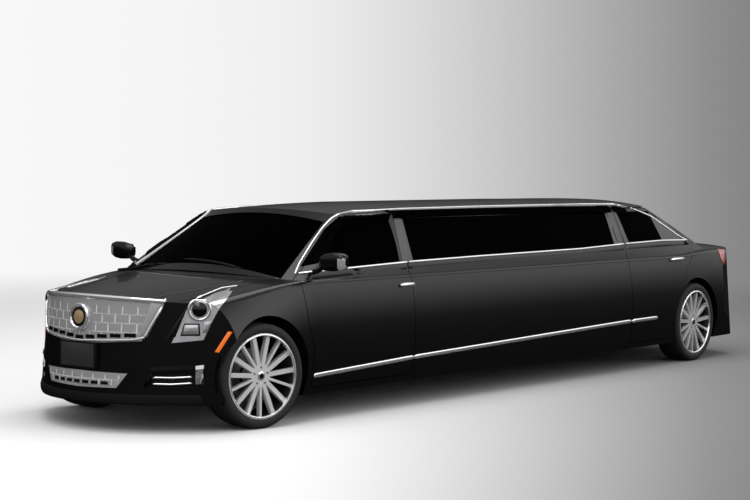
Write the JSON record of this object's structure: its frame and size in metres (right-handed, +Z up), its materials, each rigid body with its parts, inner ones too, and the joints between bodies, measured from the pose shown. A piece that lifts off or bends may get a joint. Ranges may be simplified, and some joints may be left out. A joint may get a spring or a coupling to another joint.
{
  "type": "stretch limousine",
  "caption": "Long black passenger saloon with a lengthened body between its doors, opening doors, bonnet and boot, steered front wheels and free-rolling wheels.",
  "frame": {"origin": "on the ground, at the centre of the footprint of the bounding box", "axes": "+X to the left of the car, -Y to its nose, +Z up"},
  "size_m": [2.25, 7.8748, 1.465],
  "materials": {
    "paint": "glossy near-black",
    "glass": "dark tint",
    "grille": "bright and satin metal",
    "lamp": "clear lens over bright reflectors",
    "tail_lamp": "red lens",
    "rim": "polished",
    "tyre": "matt black",
    "steel": "dull dark metal",
    "trim": "matt black",
    "leather": "black hide"
  },
  "bodies": {
    "body": {"floor_pan": "paint", "parcel_shelf": "trim", "roof_shell": "paint", "fender_left": "paint", "fender_right": "paint", "body_side_left": "paint", "body_side_right": "paint", "front_bumper": "paint", "rear_bumper": "paint", "windshield": "glass", "rear_window": "glass", "side_glass_left": "glass", "side_glass_right": "glass", "grille": "grille", "lower_grille": "grille", "headlamp_left": "lamp", "headlamp_right": "lamp", "tail_lamp_left": "tail_lamp", "tail_lamp_right": "tail_lamp", "front_subframe": "steel", "rear_axle": "steel", "engine": "steel", "dashboard": "trim", "front_seats": "leather", "rear_seat": "leather", "side_bench": "leather"},
    "hood": {"hood": "paint"},
    "trunk_lid": {"trunk_lid": "paint"},
    "door_front_left": {"door_front_left": "paint", "door_glass_front_left": "glass", "mirror_left": "paint"},
    "door_rear_left": {"door_rear_left": "paint", "door_glass_rear_left": "glass"},
    "knuckle_left": {"knuckle_left": "steel"},
    "wheel_front_left": {"rim_front_left": "rim", "tyre_front_left": "tyre"},
    "wheel_rear_left": {"rim_rear_left": "rim", "tyre_rear_left": "tyre"},
    "door_front_right": {"door_front_right": "paint", "door_glass_front_right": "glass", "mirror_right": "paint"},
    "door_rear_right": {"door_rear_right": "paint", "door_glass_rear_right": "glass"},
    "knuckle_right": {"knuckle_right": "steel"},
    "wheel_front_right": {"rim_front_right": "rim", "tyre_front_right": "tyre"},
    "wheel_rear_right": {"rim_rear_right": "rim", "tyre_rear_right": "tyre"}
  },
  "joints": [
    {"name": "hood_hinge", "type": "hinge", "parent": "body", "child": "hood", "pos_m": [0, -2.7275, 1.012], "axis": [-1, 0, 0], "range_deg": [0, 55]},
    {"name": "trunk_hinge", "type": "hinge", "parent": "body", "child": "trunk_lid", "pos_m": [0, 3.2875, 1.05], "axis": [1, 0, 0], "range_deg": [0, 65]},
    {"name": "door_front_left_hinge", "type": "hinge", "parent": "body", "child": "door_front_left", "pos_m": [0.925, -2.6575, 0.6], "axis": [0, 0, -1], "range_deg": [0, 65]},
    {"name": "door_rear_left_hinge", "type": "hinge", "parent": "body", "child": "door_rear_left", "pos_m": [0.925, 1.6675, 0.6], "axis": [0, 0, -1], "range_deg": [0, 65]},
    {"name": "steer_left", "type": "hinge", "parent": "body", "child": "knuckle_left", "pos_m": [0.72, -3.0575, 0.352], "axis": [0, 0, 1], "range_deg": [-20, 40]},
    {"name": "spin_front_left", "type": "hinge", "parent": "knuckle_left", "child": "wheel_front_left", "pos_m": [0.76924, -3.06618, 0.352], "axis": [0.9848, -0.1736, 0], "continuous": true},
    {"name": "spin_rear_left", "type": "hinge", "parent": "body", "child": "wheel_rear_left", "pos_m": [0.788, 2.8275, 0.352], "axis": [1, 0, 0], "continuous": true},
    {"name": "door_front_right_hinge", "type": "hinge", "parent": "body", "child": "door_front_right", "pos_m": [-0.925, -2.6575, 0.6], "axis": [0, 0, 1], "range_deg": [0, 65]},
    {"name": "door_rear_right_hinge", "type": "hinge", "parent": "body", "child": "door_rear_right", "pos_m": [-0.925, 1.6675, 0.6], "axis": [0, 0, 1], "range_deg": [0, 65]},
    {"name": "steer_right", "type": "hinge", "parent": "body", "child": "knuckle_right", "pos_m": [-0.72, -3.0575, 0.352], "axis": [0, 0, 1], "range_deg": [-20, 40]},
    {"name": "spin_front_right", "type": "hinge", "parent": "knuckle_right", "child": "wheel_front_right", "pos_m": [-0.76924, -3.04882, 0.352], "axis": [0.9848, -0.1736, 0], "continuous": true},
    {"name": "spin_rear_right", "type": "hinge", "parent": "body", "child": "wheel_rear_right", "pos_m": [-0.788, 2.8275, 0.352], "axis": [1, 0, 0], "continuous": true}
  ],
  "couplings": [
    {"joint": "steer_right", "follows": "steer_left", "ratio": 1}
  ]
}
